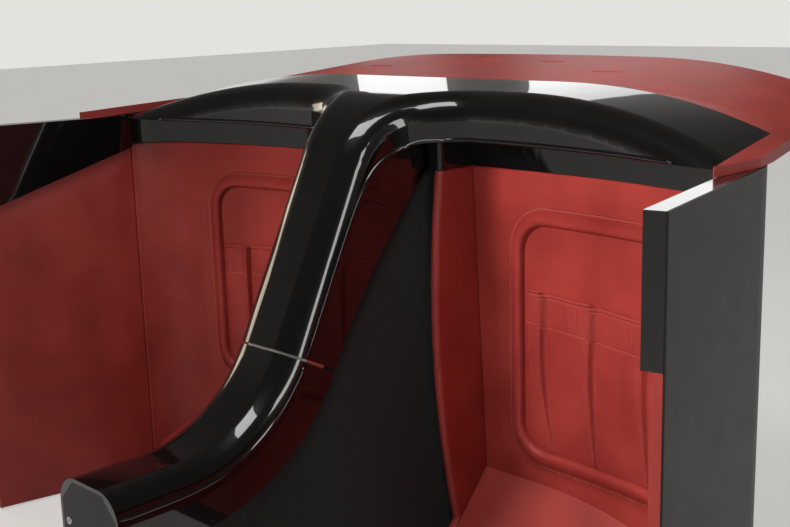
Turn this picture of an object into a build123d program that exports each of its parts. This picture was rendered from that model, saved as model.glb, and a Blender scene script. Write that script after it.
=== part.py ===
from build123d import *
import math
import os

# Rear cabin bulkhead trim of a street coupe, with its centre spine.
# Millimetres. +X is the car's left, +Y is rearward, +Z is up.
# The origin is the centre of the floor sheet's bolt pattern, on its underside.
os.makedirs("parts", exist_ok=True)

# Heights
alcove_floor_z = 150.0  # top of the ramp, at the back panel
alcove_height = 420.0  # back panel between the ramp and the fascia band
fascia_show = 42.0  # fascia band that shows under the beam's lip
beam_height = 68.0  # beam from its lip to its top
fascia_tuck = 34.0  # fascia band hidden behind the lip

# The wall in plan: straight, a gentle bend forward, a corner, the quarter panel
wall_straight = 200.0  # half length of the straight stretch
wall_bend_radius = 900.0
wall_bend_angle = 18.8
corner_radius = 90.0
quarter_angle = 78.0  # direction of the quarter panel from lateral
quarter_length = 265.0

# Sheets and boards
sheet = 2.0
board = 12.0
side_board = 14.0
carpet_board = 8.0
moulding_wall = 5.0
seat_gap = 0.3  # clearance where one piece seats on another
fascia_proud = 4.0
return_round = 8.0  # front corners of the fascia's return
return_cove = 18.0  # cove between the fascia's return and its band

# Beam and spine
beam_rear = 40.0  # beam's top edge, behind the wall's face
beam_overhang = 75.0  # beam's front, ahead of the wall's face
edge_radius = 36.0  # bullnose of the beam, and the spine's long edges
tee_radius = 90.0  # inner corners of the T, in plan
spine_half = 60.0
spine_depth = 76.0  # skirt of the spine, square to its face
tee_skirt = 52.0  # thickness of the T's flange around its inner corners
shoulder_lead = 9.0  # where the spine starts to turn down, ahead of the beam's front
shoulder_radius = 130.0  # turn from the beam's top down into the spine's face
shoulder_tilt = 5.0  # fall of the beam's top toward its front
face_slope = 63.0  # fall of the spine's face, from the shoulder to the seam
face_drop = 226.0  # height from the foot of the shoulder to the seam
seam_gap = 3.0
wing_angle = 27.0  # sweep of the beam's bent ends, before they are trimmed
wing_steps = 6
crown_radius = 1135.0  # the beam's top falls outward on this radius, past the straight stretch
skirt_swell = 8.0
sweep_radius = 187.0  # lower spine, from the seam down to the level console
console_run = 90.0  # level end of the lower spine

# Alcove side wall and tunnel
alcove_inner = 85.0  # half distance between the side walls, under the fascia
side_flare = 2.6  # degrees that the side walls lean outward to the bottom
side_depth_top = 60.0
side_depth_mid = 84.0
side_depth_low = 62.0
ramp_angle = 45.0
ramp_board = 10.0

tunnel_half_top = 53.5  # carpet's half width at the side wall's edge, under the fascia
tunnel_half_low = 80.0  # the same at the alcove floor
tunnel_half_foot = 48.8  # at the foot of the spine's sweep
tunnel_foot_y = 330.0  # ahead of the wall
tunnel_half_front = 50.0  # level run under the lower spine
carpet_tuck = 12.0  # carpet board inside the spine's skirt
end_plate = 3.0
end_hole = 22.0
splice_reach = 14.0
splice_wall = 3.0
side_nose = 6.0  # rounded front edges of the side walls
cut_over = 20.0  # how far a cutting form runs past what it cuts

# Ring and pocket on each back panel
ring_start = 150.0
ring_end = 452.0
ring_foot = 30.0  # above the alcove floor
ring_top = 373.0
ring_width = 22.0
ring_proud = 10.0
ring_corner = 52.0
pocket_height = 214.0  # from the ring's inner edge to the hem
pocket_mouth = 10.0
pocket_wall = 3.0

# Quarter cap
cap_drop = 5.0  # cap's lower edge below the fascia, at the corner
cap_fall = 18.0  # degrees that its lower edge falls forward
cap_rise = 4.0  # cap's top above the beam's lip
cap_proud = 8.0
cap_round = 12.0

# Parcel shelf
shelf_depth = 290.0
shelf_rise = 4.5
shelf_board = 12.0
shelf_slot = 46.0
shelf_slot_width = 9.0
slot_near_x = 60.0
slot_near_y = 170.0
slot_far_x = 210.0
slot_far_y = 90.0
shelf_bow = 70.0  # rear edge ahead of the middle, at its ends
shelf_tip = 84.0  # the shelf's pointed ends lie on the caps, ahead of the corners

# Floor sheet and its bolts
flange_rear = 48.0
flange_front = 40.0
bolt_edge = 14.0
bolt_radius = 3.3
bolt_x = 430.0
floor_half = 540.0
tongue_half = 105.0
bracket_drop = 120.0
bracket_reach = 260.0
bracket_web = 3.0
bracket_flange = 30.0
bracket_nose = 12.0

# Worked out from the sizes above
fascia_z = alcove_floor_z + alcove_height
lip_z = fascia_z + fascia_show
beam_top_z = lip_z + beam_height
fascia_top_z = lip_z + fascia_tuck
cap_top_z = lip_z + cap_rise
ramp_foot = (alcove_floor_z - sheet) / math.tan(math.radians(ramp_angle))
floor_rear = flange_rear
floor_front = -(ramp_foot + flange_front)
bolt_rear = floor_rear - bolt_edge
bolt_front = floor_front + bolt_edge
bolt_pitch_y = bolt_rear - bolt_front
wall_y = -(bolt_rear + bolt_front) / 2
stand_z = sheet + seat_gap
sheet_face = board + seat_gap
body_reach = wall_straight + wall_bend_radius + quarter_length  # past the part on every side
band_start = spine_half  # inner end of the boards along the wall, cut by the side walls

ramp_tan = math.tan(math.radians(ramp_angle))
bend = math.radians(wall_bend_angle)
turn = math.radians(quarter_angle)
bend_centre = (wall_straight, -wall_bend_radius)
corner_centre = (
    wall_straight + (wall_bend_radius - corner_radius) * math.sin(bend),
    -wall_bend_radius + (wall_bend_radius - corner_radius) * math.cos(bend),
)
along = Vector(math.cos(turn), -math.sin(turn))
outward = Vector(math.sin(turn), math.cos(turn))
corner_end = Vector(*corner_centre) + outward * corner_radius


def level(z):
    """Plan view plane at height z, its origin on the wall's face."""
    return Plane(origin=(0, wall_y, z))


def side_view(x=0.0):
    """Plane of the Y and Z axes, seen from the car's left."""
    return Plane(origin=(x, wall_y, 0), x_dir=(0, 1, 0), z_dir=(1, 0, 0))


def front_view(y=0.0):
    """Plane of the X and Z axes, facing forward into the cabin."""
    return Plane(origin=(0, wall_y + y, 0), x_dir=(1, 0, 0), z_dir=(0, -1, 0))


def wall_curve(depth, start_x, end="corner", run=0.0):
    """The wall's plan line at a depth behind its face, in the active line."""
    lines = [Line((start_x, depth), (wall_straight, depth))]
    lines += [CenterArc(bend_centre, wall_bend_radius + depth, 90, -wall_bend_angle)]
    if end != "bend":
        sweep = quarter_angle - wall_bend_angle
        lines += [CenterArc(corner_centre, corner_radius + depth, 90 - wall_bend_angle, -sweep)]
    if run > 0:
        tip = lines[-1] @ 1
        lines += [Line(tip, tip + along * run)]
    return lines


def wall_band(front, rear, start_x, end="corner", run=0.0):
    """Plan face between two depths of the wall, for the active sketch."""
    with BuildLine() as outline:
        near = wall_curve(front, start_x, end, run)
        far = wall_curve(rear, start_x, end, run)
        Line(near[0] @ 0, far[0] @ 0)
        Line(near[-1] @ 1, far[-1] @ 1)
    make_face(outline.edges())


def quarter_band(front, rear, start, stop):
    """Plan face along the quarter panel, between two runs from the corner's end."""
    with BuildLine() as outline:
        Polyline(
            corner_end + outward * front + along * start,
            corner_end + outward * front + along * stop,
            corner_end + outward * rear + along * stop,
            corner_end + outward * rear + along * start,
            close=True,
        )
    make_face(outline.edges())


hollow_bevel = 0.8 * (edge_radius - moulding_wall)  # plain bevel inside the rounded edges
rim_tolerance = 0.5  # how far an edge may lie from its worked out line to be found by it
core_depth = 4 * spine_depth  # depth of the uncut T block, square to the spine's face

# Side profile of the beam and the spine, as points and directions in the side view
tilt = math.radians(shoulder_tilt)
slope = math.radians(face_slope)
shoulder_y = -beam_overhang - shoulder_lead
shoulder_z = beam_top_z - (beam_rear - shoulder_y) * math.tan(tilt)
brow_y = shoulder_y - shoulder_radius * (math.sin(slope) - math.sin(tilt))
brow_z = shoulder_z - shoulder_radius * (math.cos(tilt) - math.cos(slope))
seam_z = brow_z - face_drop
seam_y = brow_y - face_drop / math.tan(slope)
sweep_y = seam_y - sweep_radius * math.sin(slope)
sweep_z = seam_z + sweep_radius * math.cos(slope)
console_z = sweep_z - sweep_radius
console_end = sweep_y - console_run


def face_height(y, inset):
    """Height of the face line at a distance behind the wall's face."""
    centre_y = shoulder_y + shoulder_radius * math.sin(tilt)
    centre_z = shoulder_z - shoulder_radius * math.cos(tilt)
    if y > shoulder_y + inset * math.sin(tilt):
        return beam_top_z + (y - beam_rear) * math.tan(tilt) - inset / math.cos(tilt)
    if y > brow_y + inset * math.sin(slope):
        return centre_z + math.sqrt((shoulder_radius - inset) ** 2 - (y - centre_y) ** 2)
    return brow_z + (y - brow_y) * math.tan(slope) - inset / math.cos(slope)


def face_line(inset, rear=beam_rear, run_on=0.0):
    """Front line of beam and spine, set in from their face, from the beam's rear edge to the seam."""
    top_z = beam_top_z + (rear - beam_rear) * math.tan(tilt) - inset / math.cos(tilt)
    shoulder = (shoulder_y + inset * math.sin(tilt), shoulder_z - inset * math.cos(tilt))
    top = Line((rear, top_z), shoulder)
    brow_end = (brow_y + inset * math.sin(slope), brow_z - inset * math.cos(slope))
    brow = RadiusArc(top @ 1, brow_end, -(shoulder_radius - inset))
    foot = seam_point(inset) + Vector(-math.cos(slope), -math.sin(slope)) * run_on
    return [top, brow, Line(brow @ 1, foot)]


def seam_point(inset):
    """A point on the seam's line, a distance into the moulding from its face."""
    return Vector(seam_y + inset * math.sin(slope), seam_z - inset * math.cos(slope))


def tee_plan(inset):
    """Plan of the T: the straight beam and the spine, with round inner corners."""
    half = spine_half - inset
    front = -beam_overhang + inset
    foot = -body_reach
    round_in = tee_radius + inset
    with BuildLine() as outline:
        Line((half, foot), (half, front - round_in))
        RadiusArc((half, front - round_in), (half + round_in, front), round_in)
        Polyline((half + round_in, front), (wall_straight, front), (wall_straight, body_reach))
        Polyline((wall_straight, body_reach), (0, body_reach), (0, foot), (half, foot))
    make_face(outline.edges())
    mirror(about=Plane.YZ)


def crown_fall(x):
    """How far the beam's top has fallen at a distance from the car's middle."""
    reach = max(x - wall_straight, 0)
    return crown_radius - math.sqrt(crown_radius**2 - reach**2)


def wing_block(inset, rear):
    """One bent end of the beam, lofted through sections that sink with the crown."""
    front = -beam_overhang + inset
    with BuildPart() as wing:
        for step in range(wing_steps + 1):
            angle = math.radians(wing_angle) * step / wing_steps
            fall = crown_fall(wall_straight + wall_bend_radius * math.sin(angle))
            station = Plane(
                origin=(wall_straight, wall_y - wall_bend_radius, -fall),
                x_dir=(math.sin(angle), math.cos(angle), 0),
                z_dir=(math.cos(angle), -math.sin(angle), 0),
            )
            with BuildSketch(station) as section:
                with Locations((wall_bend_radius, 0)):
                    Polygon(
                        (rear, face_height(rear, inset)),
                        (front, face_height(front, inset)),
                        (front, 0),
                        (rear, 0),
                        align=None,
                    )
                brow = section.vertices().group_by(Axis.X)[0].sort_by(Axis.Y)[-1]
                if inset == 0:
                    fillet(brow, edge_radius)
                else:
                    chamfer(brow, hollow_bevel)
        loft()
    return wing.part


def tee_block(inset, rear, run_on):
    """The T moulding as a deep solid with a rounded rim, before its underside is cut."""
    with BuildPart() as block:
        with BuildSketch(side_view()):
            with BuildLine():
                face = face_line(inset, rear, run_on)
                Polyline(face[-1] @ 1, seam_point(core_depth), (rear, 0), face[0] @ 0)
            make_face()
        extrude(amount=wall_straight, both=True)
        with BuildSketch(level(0)):
            tee_plan(inset)
        extrude(amount=beam_top_z, mode=Mode.INTERSECT)
        rim = [edge for edge in block.edges() if on_rim(edge, inset)]
        if inset == 0:
            fillet(rim, edge_radius)
        else:
            chamfer(rim, hollow_bevel)
        wing = wing_block(inset, rear)
        add(wing)
        mirror(wing, about=Plane.YZ)
    return block.part


def on_rim(edge, inset):
    """Whether an edge runs along the front rim of the T, where its face meets its sides."""
    middle = edge @ 0.5
    front = -beam_overhang + inset
    y = middle.Y - wall_y
    on_face = abs(middle.Z - face_height(y, inset)) < rim_tolerance
    at_front = y < front + rim_tolerance
    beside_spine = abs(middle.X) > spine_half - inset - rim_tolerance
    return on_face and at_front and beside_spine


def lower_block(inset, depth, run_on):
    """The lower spine's outer form, down to a depth under its face."""
    arc_size = face_slope + math.degrees((run_on - seam_gap) / sweep_radius)
    tip = console_end - run_on
    with BuildPart() as block:
        with BuildSketch(side_view()):
            with BuildLine():
                outer = CenterArc((sweep_y, sweep_z), sweep_radius + inset, -90, arc_size)
                inner = CenterArc((sweep_y, sweep_z), sweep_radius + depth, -90, arc_size)
                Line(outer @ 1, inner @ 1)
                Polyline(outer @ 0, (tip, console_z - inset), (tip, console_z - depth), inner @ 0)
            make_face()
        extrude(amount=spine_half - inset, both=True)
        rim = [edge for edge in block.edges() if on_lower_rim(edge, inset)]
        if inset == 0:
            fillet(rim, edge_radius)
        else:
            chamfer(rim, hollow_bevel)
    return block.part


def on_lower_rim(edge, inset):
    """Whether an edge runs along the lower spine between its face and a side."""
    middle = edge @ 0.5
    y = middle.Y - wall_y
    reach = math.hypot(y - sweep_y, middle.Z - sweep_z)
    level_run = y < sweep_y and abs(middle.Z - (console_z - inset)) < rim_tolerance
    swept_run = y > sweep_y and abs(reach - sweep_radius - inset) < rim_tolerance
    return abs(middle.X) > rim_tolerance and (level_run or swept_run)


def skirt_line():
    """Rear line of the spine's skirt, from the seam up to the fascia."""
    foot = seam_point(spine_depth)
    head = Vector(-side_depth_top, fascia_z)
    swell = (foot + head) * 0.5 + Vector(-skirt_swell, skirt_swell)
    return ThreePointArc(foot, swell, head)


def tunnel_side():
    """Side outline of the tunnel, tucked under the spine mouldings, for the active sketch."""
    tuck = spine_depth - carpet_tuck
    front_y = console_end + end_plate + seat_gap
    with BuildLine() as outline:
        face = face_line(tuck, board)
        lower = CenterArc((sweep_y, sweep_z), sweep_radius + tuck, -90, face_slope)
        Polyline(lower @ 0, (front_y, console_z - tuck), (front_y, stand_z), (board, stand_z))
        Line((board, stand_z), face[0] @ 0)
    make_face(outline.edges())


def quarter_plane(depth, side=1):
    """Upright plane along a quarter panel, facing out of the car."""
    foot = corner_end + outward * depth
    origin = (side * foot.X, foot.Y + wall_y, 0)
    return Plane(origin=origin, z_dir=(side * outward.X, outward.Y, 0))


def side_plane(depth):
    """The left alcove's side wall, facing into the alcove, its origin at the fascia."""
    lean = math.radians(side_flare)
    origin = (alcove_inner - depth, wall_y, fascia_z)
    return Plane(origin=origin, x_dir=(0, 1, 0), z_dir=(math.cos(lean), 0, math.sin(lean)))


def carpet_plane(depth):
    """The left side of the tunnel, which flares to the rear and to the bottom."""
    top = Vector(tunnel_half_top, wall_y - side_depth_top, fascia_z)
    low = Vector(tunnel_half_low, wall_y - side_depth_top, alcove_floor_z)
    foot = Vector(tunnel_half_foot, wall_y - tunnel_foot_y, console_z)
    normal = (low - top).cross(foot - top).normalized()
    if normal.X < 0:
        normal = normal * -1
    return Plane(origin=top - normal * depth, z_dir=normal)


def cap_plane(lift):
    """Lower edge of the left quarter cap: it falls toward the front."""
    fall = math.radians(cap_fall)
    origin = (corner_end.X, corner_end.Y + wall_y, fascia_z - cap_drop + lift)
    ahead = along * math.sin(fall)
    return Plane(origin=origin, z_dir=(ahead.X, ahead.Y, math.cos(fall)))


def save(piece, name):
    """Label a finished piece and write it out."""
    piece.part.label = name
    export_step(piece.part, f"parts/{name}.step")


def save_pair(left, name):
    """Write a left piece and its mirror image on the right."""
    save(left, f"{name}_left")
    with BuildPart() as right:
        mirror(left.part, about=Plane.YZ)
    save(right, f"{name}_right")


# What is kept of the deep T block: the beam over its lip, the flange and the skirts
with BuildPart() as tee_reach:
    with BuildSketch(level(lip_z)):
        Rectangle(2 * body_reach, 2 * body_reach)
    extrude(amount=beam_height + cut_over)
    with BuildSketch(side_view()):
        with BuildLine():
            outer = face_line(0)
            inner = face_line(tee_skirt)
            Line(outer[-1] @ 1, inner[-1] @ 1)
            Line(outer[0] @ 0, inner[0] @ 0)
        make_face()
    extrude(amount=wall_straight, both=True)
    with BuildSketch(side_view()):
        with BuildLine():
            outer = face_line(0)
            skirt = skirt_line()
            Line(outer[-1] @ 1, skirt @ 0)
            Polyline(skirt @ 1, (-side_depth_top, lip_z), (beam_rear, lip_z), outer[0] @ 0)
        make_face()
    extrude(amount=spine_half + seat_gap, both=True)

# Cheeks that carry the spine's skirts on to the side walls, behind the T's inner corners
cheek_front = -beam_overhang - tee_radius - cut_over
cheek_rear = -side_depth_top + return_cove
with BuildPart() as cheek_left:
    with BuildSketch(side_view(spine_half - moulding_wall)):
        with BuildLine():
            roof = face_line(edge_radius)
            skirt = skirt_line()
            Line(roof[-1] @ 1, skirt @ 0)
            Line(roof[0] @ 0, skirt @ 1)
        make_face()
        with Locations(((cheek_front + cheek_rear) / 2, lip_z)):
            Rectangle(cheek_rear - cheek_front, lip_z, mode=Mode.INTERSECT)
    extrude(amount=moulding_wall)

# T moulding: the beam across the car and the spine that flows down from it
with BuildPart() as beam_spine:
    add(tee_block(0, beam_rear, 0))
    add(tee_reach.part, mode=Mode.INTERSECT)
    add(tee_block(moulding_wall, beam_rear + cut_over, cut_over), mode=Mode.SUBTRACT)
    for side in (1, -1):
        split(bisect_by=quarter_plane(-cap_proud - seat_gap, side), keep=Keep.BOTTOM)
    add(cheek_left.part)
    mirror(cheek_left.part, about=Plane.YZ)
save(beam_spine, "beam_spine")

# Lower spine: from the seam down to the level console
with BuildPart() as spine_lower:
    add(lower_block(0, spine_depth, 0))
    add(lower_block(moulding_wall, spine_depth + cut_over, cut_over), mode=Mode.SUBTRACT)
save(spine_lower, "spine_lower")

# Splice strap inside the seam, which carries both spine mouldings
seam_frame = Plane(
    origin=(0, wall_y + seam_y, seam_z),
    x_dir=(1, 0, 0),
    z_dir=(0, -math.cos(slope), -math.sin(slope)),
)
strap_half = spine_half - moulding_wall - seat_gap
strap_top = -moulding_wall - seat_gap
strap_low = -spine_depth + carpet_tuck + splice_wall
with BuildPart() as spine_splice:
    for inset, mode in ((0, Mode.ADD), (splice_wall, Mode.SUBTRACT)):
        with BuildSketch(seam_frame) as strap:
            with Locations((0, (strap_top + strap_low) / 2 - inset)):
                Rectangle(2 * (strap_half - inset), strap_top - strap_low)
            chamfer(strap.vertices().group_by(Axis.Y)[-1], hollow_bevel)
        extrude(amount=splice_reach, both=True, mode=mode)
save(spine_splice, "spine_splice")

# End plate that carries the lower spine's level end
plate_top = console_z - moulding_wall - seat_gap
with BuildPart() as console_end_plate:
    with BuildSketch(front_view(console_end)) as plate:
        with Locations((0, (plate_top + sheet) / 2)):
            Rectangle(2 * strap_half, plate_top - sheet)
        chamfer(plate.vertices().group_by(Axis.Y)[-1], hollow_bevel)
        with Locations((0, plate_top / 2)):
            Circle(end_hole, mode=Mode.SUBTRACT)
    extrude(amount=-end_plate)
save(console_end_plate, "console_end_plate")

# Room under the beam's crown, and under the caps' height past the bend
flange_z = face_height(sheet_face, moulding_wall) - seat_gap - sheet
with BuildPart() as under_crown:
    with BuildSketch(front_view()):
        with BuildLine():
            bend_x = wall_straight + wall_bend_radius * math.sin(bend)
            crown_turn = math.degrees(math.asin((bend_x - wall_straight) / crown_radius))
            flat = Line((0, flange_z), (wall_straight, flange_z))
            crown = CenterArc((wall_straight, flange_z - crown_radius), crown_radius, 90, -crown_turn)
            Polyline(crown @ 1, (bend_x, cap_top_z), (body_reach, cap_top_z), (body_reach, 0), (0, 0), flat @ 0)
        make_face()
    extrude(amount=body_reach, both=True)

# Fascia bands, with the return along the side wall and its round corner and cove
with BuildPart() as fascia_left:
    with BuildSketch(level(fascia_z)) as band:
        wall_band(-fascia_proud, board, alcove_inner, "corner")
        outer_x = alcove_inner + fascia_proud
        inner_x = spine_half + seat_gap
        with Locations(((outer_x + inner_x) / 2, (board - side_depth_top - fascia_proud) / 2)):
            Rectangle(outer_x - inner_x, board + side_depth_top + fascia_proud)
        corners = band.vertices()
        cove = corners.sort_by_distance((outer_x, -fascia_proud))[0]
        near_tip = corners.sort_by_distance((outer_x, -side_depth_top - fascia_proud))[0]
        far_tip = corners.sort_by_distance((inner_x, -side_depth_top - fascia_proud))[0]
        fillet([near_tip, far_tip], return_round)
        fillet(cove, return_cove)
    extrude(amount=fascia_top_z - fascia_z)
    add(under_crown.part, mode=Mode.INTERSECT)
save_pair(fascia_left, "fascia")

# Trimmed back panels, behind the ramp down to the floor sheet
with BuildPart() as back_panel_left:
    with BuildSketch(level(stand_z)):
        wall_band(0, board, band_start, "corner")
    extrude(amount=fascia_z - seat_gap - stand_z)
    split(bisect_by=side_plane(-seat_gap), keep=Keep.TOP)
save_pair(back_panel_left, "back_panel")

# Inner side walls of the alcoves, with a rounded front edge and a toe along the ramp
knee_drop = alcove_height + side_depth_low * ramp_tan
toe_drop = fascia_z + cut_over
side_top = fascia_z - side_board * math.tan(math.radians(side_flare)) - seat_gap
with BuildPart() as side_panel_left:
    with BuildSketch(side_plane(0)):
        with BuildLine():
            knee = (-side_depth_low, -knee_drop)
            toe = (-side_depth_low - (toe_drop - knee_drop) / ramp_tan, -toe_drop)
            bulge = (-side_depth_mid, -knee_drop / 2)
            ThreePointArc((-side_depth_top, 0), bulge, knee)
            Polyline(knee, toe, (board, -toe_drop), (board, 0), (-side_depth_top, 0))
        make_face()
    extrude(amount=-side_board)
    split(bisect_by=Plane.XY.offset(stand_z), keep=Keep.TOP)
    split(bisect_by=Plane.XY.offset(side_top), keep=Keep.BOTTOM)
    fillet(side_panel_left.edges().filter_by(GeomType.CIRCLE), side_nose)
save_pair(side_panel_left, "side_panel")

# Ramps from the back panels down to the floor
with BuildPart() as ramp_panel_left:
    with BuildSketch(side_view()):
        drop = ramp_board / math.cos(math.radians(ramp_angle))
        head_z = alcove_floor_z + cut_over * ramp_tan
        foot = (alcove_floor_z - stand_z) / ramp_tan
        Polygon(
            (cut_over, head_z),
            (-foot, stand_z),
            (-foot + drop / ramp_tan, stand_z),
            (cut_over, head_z - drop),
            align=None,
        )
    extrude(amount=body_reach)
    with BuildSketch(level(0)):
        with BuildLine():
            wall = wall_curve(-seat_gap, 0, "corner", ramp_foot)
            end = wall[-1] @ 1
            Polyline(end, (0, end.Y), wall[0] @ 0)
        make_face()
    extrude(amount=fascia_z, mode=Mode.INTERSECT)
    split(bisect_by=side_plane(-seat_gap), keep=Keep.TOP)
save_pair(ramp_panel_left, "ramp_panel")

# Carpeted tunnel sides: a flared stretch and a level run under the lower spine
run_plane = Plane.YZ.offset(tunnel_half_front - carpet_board)
with BuildPart() as level_run:
    with BuildSketch(side_view()):
        tunnel_side()
    extrude(amount=tunnel_half_front)
    split(bisect_by=run_plane, keep=Keep.TOP)
    split(bisect_by=carpet_plane(carpet_board), keep=Keep.TOP)
with BuildPart() as tunnel_carpet_left:
    with BuildSketch(side_view()):
        tunnel_side()
    extrude(amount=2 * alcove_inner)
    split(bisect_by=carpet_plane(0), keep=Keep.BOTTOM)
    split(bisect_by=carpet_plane(carpet_board), keep=Keep.TOP)
    split(bisect_by=run_plane, keep=Keep.TOP)
    add(level_run.part)
save_pair(tunnel_carpet_left, "tunnel_carpet")

# Raised rings on the back panels
ring_mid = ((ring_start + ring_end) / 2, alcove_floor_z + (ring_foot + ring_top) / 2)
ring_size = (ring_end - ring_start, ring_top - ring_foot)
with BuildPart() as pocket_ring_left:
    with BuildSketch(level(0)):
        wall_band(-ring_proud, -seat_gap, band_start, "corner")
    extrude(amount=fascia_z)
    with BuildSketch(front_view()):
        with Locations(ring_mid):
            RectangleRounded(*ring_size, ring_corner)
            inner_size = [size - 2 * ring_width for size in ring_size]
            RectangleRounded(*inner_size, ring_corner - ring_width, mode=Mode.SUBTRACT)
    extrude(amount=body_reach, both=True, mode=Mode.INTERSECT)
save_pair(pocket_ring_left, "pocket_ring")

# Pockets inside the rings: a thin wall that stands off the panel, open at the hem
pocket_half = ring_size[0] / 2 - ring_width - seat_gap
pocket_foot = alcove_floor_z + ring_foot + ring_width + seat_gap
pocket_front = -pocket_mouth - pocket_wall
# Each form: its front and rear along the wall's depth, its inset, its height and its use
pocket_forms = (
    (pocket_front, -seat_gap, 0, pocket_height, Mode.ADD),
    (-pocket_mouth, cut_over, pocket_wall, pocket_height + cut_over, Mode.SUBTRACT),
)
with BuildPart() as pocket_left:
    for front, rear, inset, height, mode in pocket_forms:
        with BuildPart(mode=Mode.PRIVATE) as form:
            with BuildSketch(level(0)):
                wall_band(front, rear, band_start, "corner")
            extrude(amount=fascia_top_z)
            with BuildSketch(front_view()):
                with Locations((ring_mid[0], pocket_foot + inset + height / 2)):
                    patch = Rectangle(2 * (pocket_half - inset), height)
                fillet(patch.vertices().group_by(Axis.Y)[0], ring_corner - ring_width - inset)
            extrude(amount=body_reach, both=True, mode=Mode.INTERSECT)
        add(form.part, mode=mode)
save_pair(pocket_left, "pocket")

# Quarter panels, ahead of the corners
with BuildPart() as quarter_panel_left:
    with BuildSketch(level(stand_z)):
        quarter_band(0, board, seat_gap, quarter_length)
    extrude(amount=fascia_z - stand_z)
    split(bisect_by=cap_plane(0), keep=Keep.BOTTOM)
save_pair(quarter_panel_left, "quarter_panel")

# Quarter caps: sills whose lower edge falls toward the front
with BuildPart() as quarter_cap_left:
    with BuildSketch(level(alcove_floor_z)):
        quarter_band(-cap_proud, board, seat_gap, quarter_length)
    extrude(amount=cap_top_z - alcove_floor_z)
    split(bisect_by=cap_plane(seat_gap), keep=Keep.TOP)
    brow_edges = quarter_cap_left.edges().group_by(Axis.Z)[-1].sort_by(Axis.X)
    fillet(brow_edges[0], cap_round)
save_pair(quarter_cap_left, "quarter_cap")

# Steel bulkhead behind the trim, with a top flange under the straight stretch of the beam
with BuildPart() as bulkhead_half:
    with BuildSketch(level(sheet)):
        wall_band(sheet_face, sheet_face + sheet, 0, "corner", quarter_length)
    extrude(amount=flange_z)
    add(under_crown.part, mode=Mode.INTERSECT)
    with BuildSketch(level(flange_z)):
        with Locations((wall_straight / 2, (sheet_face + beam_rear - sheet) / 2)):
            Rectangle(wall_straight, beam_rear - sheet - sheet_face)
    extrude(amount=sheet)
with BuildPart() as bulkhead_sheet:
    add(bulkhead_half.part)
    mirror(bulkhead_half.part, about=Plane.YZ)
save(bulkhead_sheet, "bulkhead_sheet")

# Floor sheet: a flange behind the wall, one ahead of the ramps, a tongue under the tunnel
with BuildPart() as floor_sheet:
    with BuildSketch(level(0)):
        Polygon(
            (-floor_half, floor_rear),
            (floor_half, floor_rear),
            (floor_half, floor_front),
            (tongue_half, floor_front),
            (tongue_half, console_end - flange_front),
            (-tongue_half, console_end - flange_front),
            (-tongue_half, floor_front),
            (-floor_half, floor_front),
            align=None,
        )
        with Locations((0, -wall_y)):
            with GridLocations(2 * bolt_x, bolt_pitch_y, 2, 2):
                Circle(bolt_radius, mode=Mode.SUBTRACT)
    extrude(amount=sheet)
save(floor_sheet, "floor_sheet")

# Parcel shelf behind the beam: a crowned board with vent slots, and ends that lie on the caps
rear_scale = (wall_bend_radius + beam_rear) / wall_bend_radius
shelf_crown = crown_radius * rear_scale**2
crown_reach = corner_end.X + shelf_tip - wall_straight
shelf_turn = math.degrees(math.asin(crown_reach / shelf_crown))
rise = math.radians(shelf_rise)
tip = corner_end + along * shelf_tip - outward * cap_proud
side_front = corner_end + outward * board
side_rear = side_front - along * (shelf_depth + beam_rear)
with BuildPart() as shelf_half:
    with BuildSketch(front_view(beam_rear)) as crown_section:
        with BuildLine():
            crown_centre = (wall_straight, beam_top_z - shelf_crown)
            upper = Line((0, beam_top_z), (wall_straight, beam_top_z))
            upper_crown = CenterArc(crown_centre, shelf_crown, 90, -shelf_turn)
            lower = Line((0, beam_top_z - shelf_board), (wall_straight, beam_top_z - shelf_board))
            lower_crown = CenterArc(crown_centre, shelf_crown - shelf_board, 90, -shelf_turn)
            Line(upper @ 0, lower @ 0)
            Line(upper_crown @ 1, lower_crown @ 1)
        make_face()
    extrude(amount=2 * shelf_depth, dir=(0, math.cos(rise), math.sin(rise)))
    extrude(crown_section.sketch, amount=2 * shelf_depth, dir=(0, -1, 0))
    with BuildSketch(level(cap_top_z + seat_gap)):
        with BuildLine():
            bow_radius = (side_rear.X**2 + shelf_bow**2) / (2 * shelf_bow)
            rear_arc = RadiusArc(side_rear, (0, side_rear.Y + shelf_bow), -bow_radius)
            Polyline(side_rear, side_front, tip, (0, tip.Y), rear_arc @ 1)
        make_face()
        for slot_x, slot_y in ((slot_near_x, slot_near_y), (slot_far_x, slot_far_y)):
            with Locations((slot_x, beam_rear + slot_y)):
                SlotOverall(shelf_slot, shelf_slot_width, mode=Mode.SUBTRACT)
    extrude(amount=shelf_depth, mode=Mode.INTERSECT)
with BuildPart() as beam_room:
    with BuildSketch(level(0)):
        with BuildLine():
            room_radius = wall_bend_radius + beam_rear + seat_gap
            room_edge = Line((0, beam_rear + seat_gap), (wall_straight, beam_rear + seat_gap))
            room_bend = CenterArc(bend_centre, room_radius, 90, -wing_angle)
            Polyline(room_bend @ 1, bend_centre, (0, -wall_bend_radius), room_edge @ 0)
        make_face()
    extrude(amount=2 * beam_top_z)
    split(bisect_by=quarter_plane(-cap_proud), keep=Keep.BOTTOM)
with BuildPart() as parcel_shelf:
    add(shelf_half.part)
    add(beam_room.part, mode=Mode.SUBTRACT)
    mirror(about=Plane.YZ)
save(parcel_shelf, "parcel_shelf")

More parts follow.
